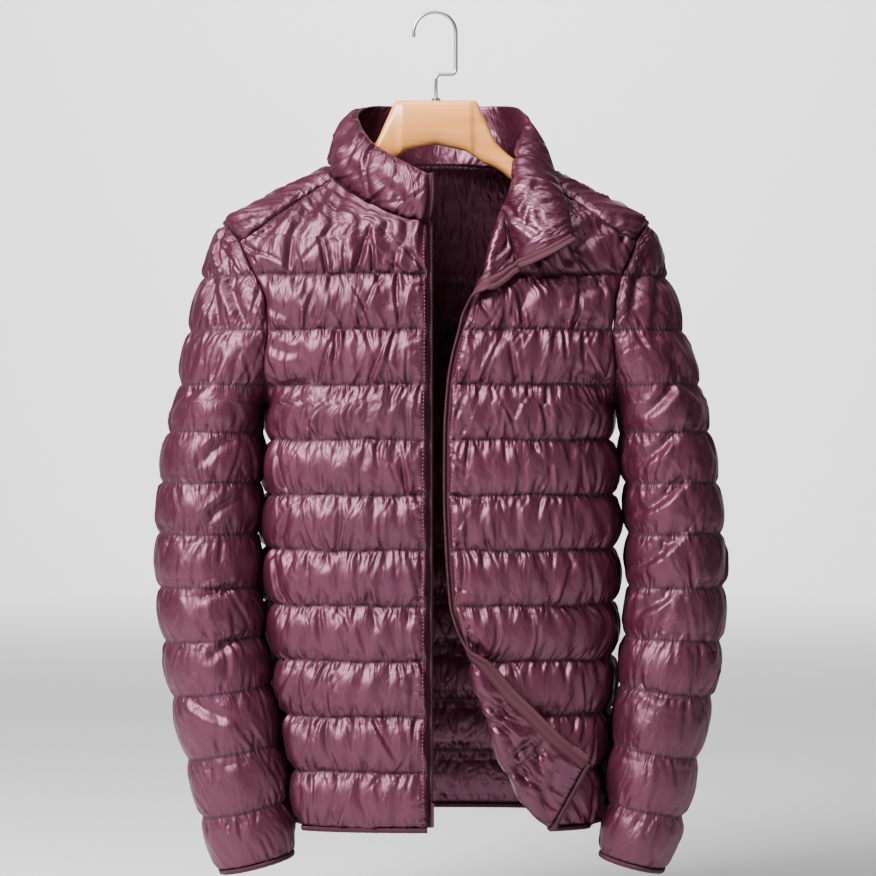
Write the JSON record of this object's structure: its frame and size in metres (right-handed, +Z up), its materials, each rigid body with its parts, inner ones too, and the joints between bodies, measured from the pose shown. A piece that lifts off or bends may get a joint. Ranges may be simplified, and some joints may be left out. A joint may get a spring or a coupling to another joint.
{
  "type": "puffer jacket on a hanger",
  "caption": "Light quilted puffer jacket with a stand-up collar, open front zip and bound cuffs and hem, hanging on a contoured wooden hanger with a wire hook",
  "frame": {"origin": "inside of the hook's crown, where the rail carries it", "axes": "+Z up, the jacket's front faces -Y, the wearer's right at -X"},
  "size_m": [0.5872, 0.243, 0.8883],
  "materials": {
    "nylon": "satin",
    "binding": "matte",
    "zip_tape": "matte",
    "zip_metal": "satin",
    "wood": "satin",
    "steel": "satin"
  },
  "bodies": {
    "jacket": {"front_right": "nylon", "front_left": "nylon", "back": "nylon", "sleeve_right": "nylon", "sleeve_left": "nylon", "collar": "nylon", "hem_binding": "binding", "cuff_binding_right": "binding", "cuff_binding_left": "binding", "zip_tape_right": "zip_tape", "zip_tape_left": "zip_tape", "zip_pin": "zip_metal", "zip_box": "zip_metal", "zip_slider": "zip_metal", "hanger": "wood", "hanger_hook": "steel", "hook_ferrule": "steel"},
    "pull": {"zip_pull": "zip_metal"}
  },
  "joints": [
    {"name": "pull_hinge", "type": "hinge", "parent": "jacket", "child": "pull", "pos_m": [0.13894, -0.11396, -0.75092], "axis": [0.629, -0.1039, 0.7705], "range_deg": [0, 60]}
  ]
}
